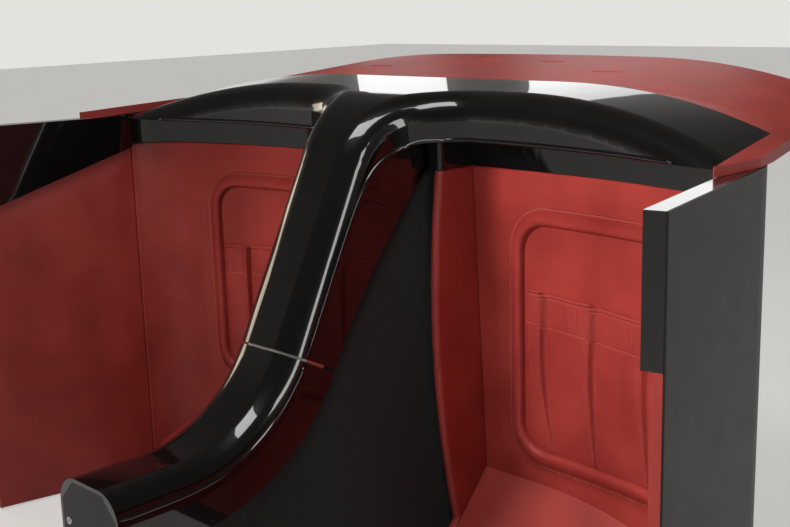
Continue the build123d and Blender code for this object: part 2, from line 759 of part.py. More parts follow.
# Shelf brackets: a gusset on the back of the bulkhead with a flange under the shelf
bracket_x = wall_straight - bracket_flange / 2
bracket_y = sheet_face + sheet + seat_gap
shelf_tan = math.tan(math.radians(shelf_rise))
under_z = beam_top_z - shelf_board / math.cos(math.radians(shelf_rise)) - seat_gap
flange_near = beam_rear + sheet
flange_near_z = under_z + sheet * shelf_tan
flange_far_z = under_z + (bracket_reach - beam_rear) * shelf_tan
with BuildPart() as shelf_bracket_left:
    with BuildSketch(side_view(bracket_x)):
        Polygon(
            (flange_near, flange_near_z),
            (bracket_reach, flange_far_z),
            (bracket_reach, flange_far_z - bracket_nose),
            (bracket_y, flange_near_z - bracket_drop),
            (bracket_y, flange_z - bracket_nose),
            (flange_near, flange_z - bracket_nose),
            align=None,
        )
    extrude(amount=bracket_web / 2, both=True)
    with BuildSketch(side_view(bracket_x)):
        Polygon(
            (flange_near, flange_near_z),
            (bracket_reach, flange_far_z),
            (bracket_reach, flange_far_z - bracket_web),
            (flange_near, flange_near_z - bracket_web),
            align=None,
        )
    extrude(amount=bracket_flange / 2, both=True)
save_pair(shelf_bracket_left, "shelf_bracket")
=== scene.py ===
# %% [markdown]
# # A red and black cabin wall, dressed for the studio
# The imported solids of this trim piece are loaded as a fixed frame: boards, mouldings and sheets, all in metres.
# This script keeps the hard parts, gives them real finishes, and replaces the upholstery with soft pieces.
# The hard parts stay where the frame has them. The ring and the pocket were measured on the photo again,
# so they stray from the frame's by a few millimetres, and by 8 at the ring's foot.

# %% Load the frame
import math
import bmesh
import bpy
from mathutils import Matrix, Vector, noise
from mathutils.bvhtree import BVHTree


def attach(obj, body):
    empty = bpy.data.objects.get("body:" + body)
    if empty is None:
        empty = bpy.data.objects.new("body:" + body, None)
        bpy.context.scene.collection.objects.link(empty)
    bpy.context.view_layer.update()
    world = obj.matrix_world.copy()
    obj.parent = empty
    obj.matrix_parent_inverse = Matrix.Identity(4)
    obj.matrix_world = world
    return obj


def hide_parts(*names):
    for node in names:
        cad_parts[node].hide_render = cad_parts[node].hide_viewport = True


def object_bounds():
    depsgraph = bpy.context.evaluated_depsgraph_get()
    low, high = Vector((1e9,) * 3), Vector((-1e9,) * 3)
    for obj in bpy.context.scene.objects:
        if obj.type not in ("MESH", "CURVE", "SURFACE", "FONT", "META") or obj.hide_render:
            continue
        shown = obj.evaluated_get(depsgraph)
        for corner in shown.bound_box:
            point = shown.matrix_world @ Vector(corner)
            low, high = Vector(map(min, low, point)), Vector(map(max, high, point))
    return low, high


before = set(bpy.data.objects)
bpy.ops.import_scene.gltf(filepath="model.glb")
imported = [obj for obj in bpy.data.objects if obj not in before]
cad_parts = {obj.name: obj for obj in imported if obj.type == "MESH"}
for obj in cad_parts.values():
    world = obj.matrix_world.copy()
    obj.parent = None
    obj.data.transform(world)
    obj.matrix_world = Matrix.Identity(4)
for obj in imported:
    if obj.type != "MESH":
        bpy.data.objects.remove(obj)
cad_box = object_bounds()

print("frame box in metres:", [[round(c, 4) for c in corner] for corner in cad_box])
print("nodes:", len(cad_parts))

# %% [markdown]
# ## Colour and node helpers
# A colour picked from a chart is an sRGB hex value, but shaders work in linear light.
# One function converts it. Another adds a shader node with its settings and links in a single call, which
# keeps each material short enough to read as a recipe.

# %% Helpers for colours and nodes
def linear(hex_colour):
    """An sRGB hex value as the linear RGBA that a shader socket wants."""
    channels = [int(hex_colour[i:i + 2], 16) / 255 for i in (1, 3, 5)]
    return [c / 12.92 if c <= 0.04045 else ((c + 0.055) / 1.055) ** 2.4 for c in channels] + [1.0]


def add_node(tree, kind, settings=None, links=None):
    """A node of this kind, with its properties and inputs set, and its inputs linked from other sockets."""
    node = tree.nodes.new(kind)
    for name, value in (settings or {}).items():
        if isinstance(name, int) or name in node.inputs:
            node.inputs[name].default_value = value
        else:
            setattr(node, name, value)
    for name, socket in (links or {}).items():
        tree.links.new(socket, node.inputs[name])
    return node


def new_material(name):
    """An empty node material, with its Principled shader and its object coordinates in metres."""
    material = bpy.data.materials.new(name)
    material.use_nodes = True
    tree = material.node_tree
    shader = tree.nodes["Principled BSDF"]
    place = add_node(tree, "ShaderNodeTexCoord").outputs["Object"]
    return material, tree, shader, place


def ramp_stops(node, stops):
    """Sets a colour ramp's stops from a list of position and hex colour."""
    elements = node.color_ramp.elements
    while len(elements) < len(stops):
        elements.new(0.5)
    for element, (position, colour) in zip(elements, stops):
        element.position = position
        element.color = linear(colour)


MM = 0.001
print("a mid grey in linear light:", [round(c, 3) for c in linear("#808080")])

# %% [markdown]
# ## Dyed upholstery hide
# The red panels are taken to be full-grain cowhide, drum dyed, with a thin satin topcoat. Good vinyl would look
# much the same in the photo.
# Its pebble grain is about 1.2 mm across and very shallow, so the eye sees it as a soft break-up of highlights.
# A hide isn't one even red either: the dye lies deeper in some areas than in others over 60 to 150 mm.
# A Voronoi pattern gives the pebbles and two noises give the dye and the gentle puckers of stretched hide.

# %% Red hide
def red_hide(name, shallow, deep, pucker_mm):
    """Dyed satin hide: two reds, and how far apart its puckers lie."""
    material, tree, shader, place = new_material(name)
    dye = add_node(tree, "ShaderNodeTexNoise", {"Scale": 1 / 0.11, "Detail": 4.0, "Roughness": 0.55}, {"Vector": place})
    shade = add_node(tree, "ShaderNodeValToRGB", {}, {"Fac": dye.outputs["Fac"]})
    ramp_stops(shade, [(0.36, deep), (0.64, shallow)])
    pebble = add_node(tree, "ShaderNodeTexVoronoi", {"Scale": 1 / (1.2 * MM), "Randomness": 0.9}, {"Vector": place})
    fine = add_node(tree, "ShaderNodeTexNoise", {"Scale": 1 / (0.5 * MM), "Detail": 2.0}, {"Vector": place})
    pucker = add_node(tree, "ShaderNodeTexNoise", {"Scale": 1 / (pucker_mm * MM), "Detail": 3.0, "Roughness": 0.5},
                      {"Vector": place})
    grain = add_node(tree, "ShaderNodeBump", {"Strength": 0.22, "Distance": 0.25 * MM},
                     {"Height": pebble.outputs["Distance"]})
    pores = add_node(tree, "ShaderNodeBump", {"Strength": 0.12, "Distance": 0.15 * MM},
                     {"Height": fine.outputs["Fac"], "Normal": grain.outputs["Normal"]})
    folds = add_node(tree, "ShaderNodeBump", {"Strength": 0.35, "Distance": 1.6 * MM},
                     {"Height": pucker.outputs["Fac"], "Normal": pores.outputs["Normal"]})
    gloss = add_node(tree, "ShaderNodeMapRange", {"To Min": 0.40, "To Max": 0.54}, {"Value": dye.outputs["Fac"]})
    tree.links.new(shade.outputs["Color"], shader.inputs["Base Color"])
    tree.links.new(gloss.outputs["Result"], shader.inputs["Roughness"])
    tree.links.new(folds.outputs["Normal"], shader.inputs["Normal"])
    shader.inputs["IOR"].default_value = 1.48
    shader.inputs["Specular IOR Level"].default_value = 0.42
    return material


panel_hide = red_hide("dyed satin cowhide, stretched on boards", "#A23932", "#8C2D28", 46)
pocket_hide = red_hide("dyed satin cowhide, soft and gathered", "#A03832", "#892B27", 18)
print("hides:", panel_hide.name, "|", pocket_hide.name)

# %% [markdown]
# ## Black polished lacquer
# The beam, the spine and the fascia bands are taken to be glass-reinforced mouldings, sprayed black and polished.
# The eye sees almost no colour of their own, only a deep black under a sharp clear coat, with the faintest
# orange peel that makes straight reflections waver.

# %% Black lacquer
def polished_lacquer(name, colour):
    """Black base under a polished clear coat, with a trace of orange peel about 9 mm apart."""
    material, tree, shader, place = new_material(name)
    peel = add_node(tree, "ShaderNodeTexNoise", {"Scale": 1 / (9 * MM), "Detail": 1.0}, {"Vector": place})
    wave = add_node(tree, "ShaderNodeTexNoise", {"Scale": 1 / (70 * MM), "Detail": 1.0}, {"Vector": place})
    tone = add_node(tree, "ShaderNodeValToRGB", {}, {"Fac": wave.outputs["Fac"]})
    ramp_stops(tone, [(0.3, colour), (0.7, "#080708")])
    skin = add_node(tree, "ShaderNodeBump", {"Strength": 0.05, "Distance": 0.08 * MM}, {"Height": peel.outputs["Fac"]})
    long_wave = add_node(tree, "ShaderNodeBump", {"Strength": 0.10, "Distance": 0.6 * MM},
                         {"Height": wave.outputs["Fac"], "Normal": skin.outputs["Normal"]})
    tree.links.new(tone.outputs["Color"], shader.inputs["Base Color"])
    tree.links.new(long_wave.outputs["Normal"], shader.inputs["Normal"])
    tree.links.new(long_wave.outputs["Normal"], shader.inputs["Coat Normal"])
    shader.inputs["Roughness"].default_value = 0.3
    shader.inputs["Specular IOR Level"].default_value = 0.1
    shader.inputs["Coat Weight"].default_value = 1.0
    shader.inputs["Coat Roughness"].default_value = 0.03
    shader.inputs["Coat IOR"].default_value = 1.5
    return material


lacquer = polished_lacquer("black lacquer, polished", "#040404")
print("lacquer:", lacquer.name)

# %% [markdown]
# ## Carpet, steel, aluminium and thread
# The tunnel wears a charcoal cut-pile carpet whose tufts stand about 2 mm apart and catch light at their tips.
# The hidden sheets are cold-rolled steel in satin black, and the strap in the seam is mill-finish aluminium,
# brushed along its length by the rolls. The thread is bonded polyester, a little paler than the hide.

# %% Carpet
carpet, tree, shader, place = new_material("charcoal cut-pile carpet")
tufts = add_node(tree, "ShaderNodeTexVoronoi", {"Scale": 1 / (2.0 * MM), "Randomness": 1.0}, {"Vector": place})
fibres = add_node(tree, "ShaderNodeTexNoise", {"Scale": 1 / (0.9 * MM), "Detail": 3.0, "Roughness": 0.7},
                  {"Vector": place})
wear = add_node(tree, "ShaderNodeTexNoise", {"Scale": 1 / (60 * MM), "Detail": 3.0}, {"Vector": place})
mixed = add_node(tree, "ShaderNodeMix", {"data_type": "FLOAT", "Factor": 0.55},
                 {2: tufts.outputs["Distance"], 3: fibres.outputs["Fac"]})
tone = add_node(tree, "ShaderNodeValToRGB", {}, {"Fac": mixed.outputs[0]})
ramp_stops(tone, [(0.25, "#0B0C0D"), (0.62, "#191A1C"), (0.85, "#2B2D30")])
pile = add_node(tree, "ShaderNodeBump", {"Strength": 0.8, "Distance": 1.5 * MM}, {"Height": mixed.outputs[0]})
brushed = add_node(tree, "ShaderNodeBump", {"Strength": 0.3, "Distance": 3.0 * MM},
                   {"Height": wear.outputs["Fac"], "Normal": pile.outputs["Normal"]})
tree.links.new(tone.outputs["Color"], shader.inputs["Base Color"])
tree.links.new(brushed.outputs["Normal"], shader.inputs["Normal"])
shader.inputs["Roughness"].default_value = 0.95
shader.inputs["Specular IOR Level"].default_value = 0.15
shader.inputs["Sheen Weight"].default_value = 0.25
shader.inputs["Sheen Roughness"].default_value = 0.5
print("carpet tufts 2 mm apart")

# %% Sheet metals and thread
sheet_paint, tree, shader, place = new_material("cold-rolled steel, satin black paint")
speckle = add_node(tree, "ShaderNodeTexNoise", {"Scale": 1 / (1.5 * MM), "Detail": 2.0}, {"Vector": place})
rubbed = add_node(tree, "ShaderNodeTexNoise", {"Scale": 1 / (45 * MM), "Detail": 5.0, "Roughness": 0.65},
                  {"Vector": place})
tone = add_node(tree, "ShaderNodeValToRGB", {}, {"Fac": rubbed.outputs["Fac"]})
ramp_stops(tone, [(0.35, "#121213"), (0.72, "#1D1D1E")])
texture = add_node(tree, "ShaderNodeBump", {"Strength": 0.15, "Distance": 0.1 * MM}, {"Height": speckle.outputs["Fac"]})
matt = add_node(tree, "ShaderNodeMapRange", {"To Min": 0.38, "To Max": 0.55}, {"Value": rubbed.outputs["Fac"]})
tree.links.new(tone.outputs["Color"], shader.inputs["Base Color"])
tree.links.new(texture.outputs["Normal"], shader.inputs["Normal"])
tree.links.new(matt.outputs["Result"], shader.inputs["Roughness"])
shader.inputs["Specular IOR Level"].default_value = 0.3

strap_metal, tree, shader, place = new_material("mill-finish aluminium")
stretched = add_node(tree, "ShaderNodeMapping", {"Scale": (1.0, 40.0, 40.0)}, {"Vector": place})
roll_marks = add_node(tree, "ShaderNodeTexNoise", {"Scale": 1 / (20 * MM), "Detail": 3.0},
                      {"Vector": stretched.outputs["Vector"]})
rough = add_node(tree, "ShaderNodeMapRange", {"To Min": 0.28, "To Max": 0.45}, {"Value": roll_marks.outputs["Fac"]})
tree.links.new(rough.outputs["Result"], shader.inputs["Roughness"])
shader.inputs["Base Color"].default_value = linear("#C9CBCC")
shader.inputs["Metallic"].default_value = 1.0

rivet_metal, tree, shader, place = new_material("aluminium rivets, dulled")
mottle = add_node(tree, "ShaderNodeTexNoise", {"Scale": 1 / (3 * MM), "Detail": 2.0}, {"Vector": place})
tone = add_node(tree, "ShaderNodeValToRGB", {}, {"Fac": mottle.outputs["Fac"]})
ramp_stops(tone, [(0.3, "#A5A7A8"), (0.7, "#C3C5C5")])
tree.links.new(tone.outputs["Color"], shader.inputs["Base Color"])
shader.inputs["Metallic"].default_value = 1.0
shader.inputs["Roughness"].default_value = 0.34

thread, tree, shader, place = new_material("bonded polyester thread, pale red")
twist = add_node(tree, "ShaderNodeTexWave", {"Scale": 1 / (1.1 * MM), "Distortion": 0.5}, {"Vector": place})
tone = add_node(tree, "ShaderNodeValToRGB", {}, {"Fac": twist.outputs["Fac"]})
ramp_stops(tone, [(0.2, "#AE5B54"), (0.8, "#D08A7E")])
tree.links.new(tone.outputs["Color"], shader.inputs["Base Color"])
shader.inputs["Roughness"].default_value = 0.5
print("metals and thread ready")

# %% [markdown]
# ## Finishes on the frame's own parts
# The rigid parts already have the right shape, so each only takes a material.

# %% Dress the rigid parts
FINISH = {"beam_spine": lacquer, "spine_lower": lacquer, "bulkhead_sheet": sheet_paint, "floor_sheet": sheet_paint,
          "console_end_plate": sheet_paint, "spine_splice": strap_metal, "parcel_shelf": panel_hide}
PAIRS = {"fascia": lacquer, "quarter_cap": lacquer, "tunnel_carpet": carpet, "shelf_bracket": sheet_paint,
         "back_panel": panel_hide, "side_panel": panel_hide, "ramp_panel": panel_hide, "quarter_panel": panel_hide,
         "pocket_ring": pocket_hide, "pocket": pocket_hide}
for base, material in PAIRS.items():
    FINISH.update({base + "_left": material, base + "_right": material})
for node, material in FINISH.items():
    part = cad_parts[node]
    part.data.materials.clear()
    part.data.materials.append(material)
print("dressed", len(FINISH), "of", len(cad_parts), "nodes")

# %% [markdown]
# ## The wall's line, and how a soft piece becomes a mesh
# All the upholstery follows one plan line: straight behind the tunnel, a gentle bend forward, a tight corner and
# the straight quarter panel. Each piece is described as a grid of points on that line, so it is easy to puff,
# pinch or fold it. The frame's sizes decide where a board ends.
# A board has a front grid and a back grid with the same rows; the rim between them closes the solid.
# The rows crowd together near the edges, where the hide rolls over the board in a few millimetres.

# %% The plan line
ROW_Y = 0.070  # the wall's straight face, behind the bolt pattern's centre
STRAIGHT = 0.200
BEND_RADIUS, BEND_TURN = 0.900, math.radians(18.8)
CORNER_RADIUS, QUARTER_TURN = 0.090, math.radians(78)
BEND_END = STRAIGHT + BEND_RADIUS * BEND_TURN
CORNER_END = BEND_END + CORNER_RADIUS * (QUARTER_TURN - BEND_TURN)
CORNER_X = STRAIGHT + (BEND_RADIUS - CORNER_RADIUS) * math.sin(BEND_TURN)
CORNER_Y = -BEND_RADIUS + (BEND_RADIUS - CORNER_RADIUS) * math.cos(BEND_TURN)


def on_wall(run, depth, z):
    """The point at an arc length along the left wall, a depth behind its face and a height."""
    if run < STRAIGHT:
        x, y, turn = run, 0.0, 0.0
    elif run < BEND_END:
        turn = (run - STRAIGHT) / BEND_RADIUS
        x = STRAIGHT + BEND_RADIUS * math.sin(turn)
        y = BEND_RADIUS * (math.cos(turn) - 1)
    else:
        turn = min(BEND_TURN + (run - BEND_END) / CORNER_RADIUS, QUARTER_TURN)
        x = CORNER_X + CORNER_RADIUS * math.sin(turn)
        y = CORNER_Y + CORNER_RADIUS * math.cos(turn)
        past = max(run - CORNER_END, 0)
        x += past * math.cos(turn)
        y -= past * math.sin(turn)
    return Vector((x + depth * math.sin(turn), ROW_Y + y + depth * math.cos(turn), z))


def run_at(x):
    """The arc length along the wall's straight and bent stretches at a distance from the car's middle."""
    return x if x < STRAIGHT else STRAIGHT + BEND_RADIUS * math.asin((x - STRAIGHT) / BEND_RADIUS)


print("the wall's line is", round(CORNER_END, 4), "m long to the corner's end")

# %% Grids and solids
EDGE_STEPS = [0, 0.25, 0.6, 1.1, 1.8, 2.7, 4.0, 6.0, 9.0]  # millimetres in from an edge


def spread(start, stop, step_mm=5.0):
    """Positions from start to stop, crowded near both ends."""
    length = stop - start
    near = [s * MM for s in EDGE_STEPS if s * MM < length / 2]
    middle = length - 2 * near[-1]
    count = max(int(middle / (step_mm * MM)), 1)
    inner = [near[-1] + middle * i / count for i in range(1, count)]
    return [start + s for s in near + inner] + [stop - s for s in reversed(near)]


def rolled(distance, radius_mm):
    """How far a rolled edge falls back, at a distance in from the edge."""
    radius = radius_mm * MM
    if distance >= radius:
        return 0.0
    return radius - math.sqrt(max(radius ** 2 - (radius - distance) ** 2, 0))


def soft_noise(point, size_mm, seed=0.0):
    """Smooth noise of about plus or minus one, its lumps this many millimetres apart."""
    return noise.noise(Vector(point) / (size_mm * MM) + Vector((seed, seed * 1.7, seed * 0.3)))


def finish_mesh(name, points, faces, material, sharp=50):
    """A named object from points and faces, smooth except where it folds sharply."""
    mesh = bpy.data.meshes.new(name)
    mesh.from_pydata([tuple(p) for p in points], [], faces)
    shape = bmesh.new()
    shape.from_mesh(mesh)
    bmesh.ops.remove_doubles(shape, verts=shape.verts, dist=1e-6)
    bmesh.ops.recalc_face_normals(shape, faces=shape.faces)
    for face in shape.faces:
        face.smooth = True
    for edge in shape.edges:
        edge.smooth = edge.calc_face_angle(0) < math.radians(sharp)
    shape.to_mesh(mesh)
    shape.free()
    mesh.materials.append(material)
    piece = bpy.data.objects.new(name, mesh)
    bpy.context.collection.objects.link(piece)
    return piece


def mirrored(piece, name):
    """The same piece on the right side of the car."""
    mesh = piece.data.copy()
    mesh.name = name
    mesh.transform(Matrix.Scale(-1, 4, (1, 0, 0)))
    mesh.flip_normals()
    twin = bpy.data.objects.new(name, mesh)
    bpy.context.collection.objects.link(twin)
    return twin


def grid_solid(front, back):
    """Points and faces of a closed solid between two grids of the same rows."""
    rows, columns = len(front), len(front[0])
    points = [p for row in front for p in row] + [p for row in back for p in row]
    half = rows * columns
    faces = []
    for i in range(rows - 1):
        for j in range(columns - 1):
            a, b, c, d = i * columns + j, i * columns + j + 1, (i + 1) * columns + j + 1, (i + 1) * columns + j
            faces += [(a, b, c, d), (half + d, half + c, half + b, half + a)]
    rim = [(0, j) for j in range(columns)] + [(i, columns - 1) for i in range(1, rows)]
    rim += [(rows - 1, j) for j in range(columns - 2, -1, -1)] + [(i, 0) for i in range(rows - 2, 0, -1)]
    for (i, j), (k, m) in zip(rim, rim[1:] + rim[:1]):
        a, b = i * columns + j, k * columns + m
        faces.append((b, a, half + a, half + b))
    return points, faces


def tube_faces(loops, around, base=0):
    """Faces of a closed tube of loops of points, with a cap at each end."""
    faces = []
    for i in range(loops - 1):
        low, high = base + i * around, base + (i + 1) * around
        for k in range(around):
            m = (k + 1) % around
            faces.append((low + k, low + m, high + m, high + k))
    faces.append(tuple(base + k for k in range(around - 1, -1, -1)))
    faces.append(tuple(base + (loops - 1) * around + k for k in range(around)))
    return faces


def place(piece, slot, *nodes):
    """Hangs a piece on the root and hides the frame nodes it stands for. The slot is not used."""
    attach(piece, "root")
    if nodes:
        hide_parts(*nodes)
    return piece


def both_sides(piece, base, slot, node=None):
    """Places a left piece and its mirror image, each standing for its own node."""
    twin = mirrored(piece, base + "_right")
    for side, each in (("left", piece), ("right", twin)):
        place(each, slot, *([node + "_" + side] if node else []))
    return piece, twin


print("edge rows at", EDGE_STEPS, "mm")

# %% [markdown]
# ## Back panels
# Each back panel is plywood with a few millimetres of foam under one hide, pulled tight round its edges.
# The foam lets the surface swell a little between the ring and the edges and dip along the ring's seam.
# So the front grid is the flat board plus three small things: rolled edges, that swell, and slow unevenness.

# %% Back panels
BOARD = 0.012
ALCOVE_TOP, FASCIA_Z, STAND_Z = 0.570, 0.5697, 0.0023
SIDE_X = 0.085  # the side wall's alcove face, at the alcove's top
SIDE_FLARE = math.tan(math.radians(2.6))
SEAT_GAP, CREASE = 0.0003, 0.0005
FIRST_RUN = 0.115  # about where the panel starts, which sets how many columns it gets
ring_x0, ring_x1, ring_z0, ring_z1 = 0.1510, 0.4525, 0.1720, 0.5245
RING_CORNER = 0.060


def side_wall_x(z):
    """The alcove face of the side wall at a height."""
    return SIDE_X + (ALCOVE_TOP - z) * SIDE_FLARE


def from_ring(x, z):
    """Distance from the ring's outer edge, negative inside it."""
    half_x, half_z = (ring_x1 - ring_x0) / 2, (ring_z1 - ring_z0) / 2
    dx = abs(x - (ring_x0 + ring_x1) / 2) - (half_x - RING_CORNER)
    dz = abs(z - (ring_z0 + ring_z1) / 2) - (half_z - RING_CORNER)
    outside = math.hypot(max(dx, 0), max(dz, 0))
    return outside + min(max(dx, dz), 0) - RING_CORNER


def smooth_step(value, low, high):
    """Zero below low, one above high, and smooth between."""
    t = min(max((value - low) / (high - low), 0), 1)
    return t * t * (3 - 2 * t)


front, back = [], []
for z in spread(STAND_Z, FASCIA_Z):
    start = run_at(side_wall_x(z) + CREASE)
    front_row, back_row = [], []
    for share in spread(0, CORNER_END - FIRST_RUN):
        run = start + share * (CORNER_END - SEAT_GAP - start) / (CORNER_END - FIRST_RUN)
        edge = min(run - start, CORNER_END - run, z - STAND_Z, FASCIA_Z - z)
        spot = on_wall(run, 0, z)
        swell = 1.6 * MM * smooth_step(edge, 0, 0.035) * smooth_step(abs(from_ring(spot.x, z)), 0.001, 0.022)
        uneven = 0.35 * MM * soft_noise(spot, 70) + 0.12 * MM * soft_noise(spot, 22, 5)
        calm = smooth_step(edge, 0.002, 0.02)
        front_row.append(on_wall(run, rolled(edge, 3.0) - swell - uneven * calm, z))
        back_row.append(on_wall(run, BOARD, z))
    front.append(front_row)
    back.append(back_row)
back_left = finish_mesh("back_hide_left", *grid_solid(front, back), panel_hide)
both_sides(back_left, "back_hide", "red_leather", "back_panel")
print("back panel rows and columns:", len(front), len(front[0]))

# %% [markdown]
# ## Side walls of the alcoves
# A side wall is a board with the hide wrapped round its front edge, so the nose is a full half round.
# The front edge isn't straight: it bows forward halfway down, then runs out along the ramp to the floor.
# Here a section of the board is drawn at each height, rear edge to nose and back, and the sections are lofted.

# %% Side walls
SIDE_BOARD = 0.014
SIDE_TOP = ALCOVE_TOP - SIDE_BOARD * SIDE_FLARE - SEAT_GAP
NOSE_TOP, NOSE_MID, NOSE_LOW = (0.060, ALCOVE_TOP), (0.084, 0.329), (0.062, 0.088)  # reach and height


def arc_through(first, middle, last):
    """Centre and radius of the circle through three points."""
    (x1, y1), (x2, y2), (x3, y3) = first, middle, last
    d = 2 * (x1 * (y2 - y3) + x2 * (y3 - y1) + x3 * (y1 - y2))
    a, b, c = x1 ** 2 + y1 ** 2, x2 ** 2 + y2 ** 2, x3 ** 2 + y3 ** 2
    centre = ((a * (y2 - y3) + b * (y3 - y1) + c * (y1 - y2)) / d, (a * (x3 - x2) + b * (x1 - x3) + c * (x2 - x1)) / d)
    return centre, math.hypot(x1 - centre[0], y1 - centre[1])


nose_centre, nose_radius = arc_through(NOSE_TOP, NOSE_MID, NOSE_LOW)


def nose_reach(z):
    """How far the side wall's front edge stands ahead of the wall's face."""
    if z > NOSE_LOW[1]:
        return nose_centre[0] + math.sqrt(nose_radius ** 2 - (z - nose_centre[1]) ** 2)
    return NOSE_LOW[0] + (NOSE_LOW[1] - z)


sections = []
for z in spread(STAND_Z, SIDE_TOP, 6.0):
    outer = side_wall_x(z)
    half = SIDE_BOARD / 2
    middle_x = outer - half
    reach = nose_reach(z) - half
    edge = min(z - STAND_Z, SIDE_TOP - z)
    pinch = rolled(edge, 2.0)
    row = []
    depths = [0.0119, 0.006, 0.0] + [-reach * k / 14 for k in range(1, 14)]
    for depth in depths:
        swell = 0.5 * MM * soft_noise((outer, depth, z), 40, 2) * smooth_step(edge, 0.002, 0.03)
        row.append(Vector((outer - pinch - max(swell, 0), ROW_Y + depth, z)))
    for k in range(17):
        turn = math.pi * k / 16
        puff = half - pinch
        row.append(Vector((middle_x + puff * math.cos(turn), ROW_Y - reach - puff * math.sin(turn), z)))
    for depth in reversed(depths):
        row.append(Vector((outer - SIDE_BOARD + pinch, ROW_Y + depth, z)))
    sections.append(row)
columns = len(sections[0])
points = [p for row in sections for p in row]
side_left = finish_mesh("side_hide_left", points, tube_faces(len(sections), columns), panel_hide)
both_sides(side_left, "side_hide", "red_leather", "side_panel")
print("side wall sections:", len(sections), "of", columns, "points")

# %% [markdown]
# ## Ramps and quarter panels
# The ramp is a padded board from the foot of the back panel down to the floor. Its rear edge follows the wall's
# line, so the grid does too: each column starts on the wall and runs straight forward and down at 45 degrees.
# The quarter panel is a flat padded board whose top edge follows the cap down toward the front.

# %% Ramps
RAMP_TOP, RAMP_BOARD = 0.150, 0.010
RAMP_ACROSS, RAMP_FALL = 0.43, 0.147
ramp_drop = RAMP_BOARD / math.cos(math.radians(45))
front, back = [], []
for share in spread(0, RAMP_ACROSS):
    front_row, back_row = [], []
    for slide in spread(0, RAMP_FALL):
        z = RAMP_TOP - slide
        start = run_at(side_wall_x(z) + CREASE)
        run = start + share / RAMP_ACROSS * (CORNER_END - 0.004 - start)
        rear = on_wall(run, -0.0004, 0)
        top_y = rear.y - ROW_Y
        low_y = -(RAMP_TOP - STAND_Z)
        y = top_y + (low_y - top_y) * slide / RAMP_FALL
        height = max(RAMP_TOP + y, STAND_Z)
        edge = min(share, RAMP_ACROSS - share, slide, RAMP_FALL - slide)
        sink = rolled(edge, 2.5) - 1.0 * MM * smooth_step(edge, 0, 0.03)
        uneven = 0.3 * MM * soft_noise((run, y, height), 55, 3) * smooth_step(edge, 0.002, 0.02)
        front_row.append(Vector((rear.x, ROW_Y + y, max(height - sink + uneven, STAND_Z))))
        back_row.append(Vector((rear.x, ROW_Y + y, max(height - ramp_drop, STAND_Z - 0.0001))))
    front.append(front_row)
    back.append(back_row)
ramp_left = finish_mesh("ramp_hide_left", *grid_solid(front, back), panel_hide)
both_sides(ramp_left, "ramp_hide", "red_leather", "ramp_panel")
print("ramp rows:", len(front))

# %% Quarter panels
QUARTER_LENGTH, QUARTER_HEIGHT, CAP_DROP = 0.265, 0.56, 0.005
CAP_FALL = math.tan(math.radians(18))
front, back = [], []
for past in spread(SEAT_GAP, QUARTER_LENGTH):
    top = ALCOVE_TOP - CAP_DROP - past * CAP_FALL
    front_row, back_row = [], []
    for share in spread(0, QUARTER_HEIGHT):
        z = STAND_Z + share / QUARTER_HEIGHT * (top - STAND_Z)
        edge = min(past, QUARTER_LENGTH - past, z - STAND_Z, top - z)
        swell = 1.8 * MM * smooth_step(edge, 0, 0.04) + 0.4 * MM * soft_noise((past, 0, z), 80, 7)
        sink = rolled(edge, 3.0) - swell * smooth_step(edge, 0.001, 0.012)
        front_row.append(on_wall(CORNER_END + past, sink, z))
        back_row.append(on_wall(CORNER_END + past, BOARD, z))
    front.append(front_row)
    back.append(back_row)
quarter_left = finish_mesh("quarter_hide_left", *grid_solid(front, back), panel_hide)
both_sides(quarter_left, "quarter_hide", "red_leather", "quarter_panel")
print("quarter panel rows:", len(front))

# %% [markdown]
# ## Padded rings round the pockets
# The ring is a strip of hide sewn down flat along its outer edge, then rolled over a soft core that ends in a
# steep inner edge. A profile of its height is drawn once and carried round a rectangle with round corners.
# On the inside of each corner the hide has to bunch up, so small wrinkles run across it there.

# %% Ring
# Distance in from the outer edge and height off the panel, both in millimetres
RING_PROFILE = [(0.0, 0.3), (0.3, 1.5), (1.2, 2.1), (2.4, 2.3), (3.6, 2.9), (5.2, 4.2), (7.2, 5.9), (9.6, 7.6),
                (12.2, 8.9), (14.8, 9.7), (17.2, 10.0), (19.4, 9.7), (21.2, 8.7), (22.7, 6.9), (23.8, 4.6),
                (24.5, 2.2), (25.0, 0.3)]


def ring_path(inset, step_mm=2.5):
    """Points round the ring a distance in from its outer edge, with the share of corner at each."""
    corner = RING_CORNER - inset
    corners = [(ring_x1, ring_z1, 0), (ring_x0, ring_z1, 90), (ring_x0, ring_z0, 180), (ring_x1, ring_z0, 270)]
    path = []
    for (x, z, start), (next_x, next_z, _) in zip(corners, corners[1:] + corners[:1]):
        middle = (x - RING_CORNER * (1 if start in (0, 270) else -1), z - RING_CORNER * (1 if start < 180 else -1))
        for k in range(25):
            turn = math.radians(start + 90 * k / 24)
            place_x, place_z = middle[0] + corner * math.cos(turn), middle[1] + corner * math.sin(turn)
            path.append((place_x, place_z, math.sin(math.pi * k / 24)))
        length = abs(next_x - x) + abs(next_z - z) - 2 * RING_CORNER
        steps = int(length / (step_mm * MM))
        ahead = math.radians(start + 90)
        across = (-math.sin(ahead), math.cos(ahead))
        end_x, end_z = path[-1][:2]
        for k in range(1, steps):
            reach = length * k / steps
            path.append((end_x + across[0] * reach, end_z + across[1] * reach, 0.0))
    return path


def on_ring(x, z, height):
    """A point that stands off the back panel in front of a place seen from the front."""
    return on_wall(run_at(x), -height, z)


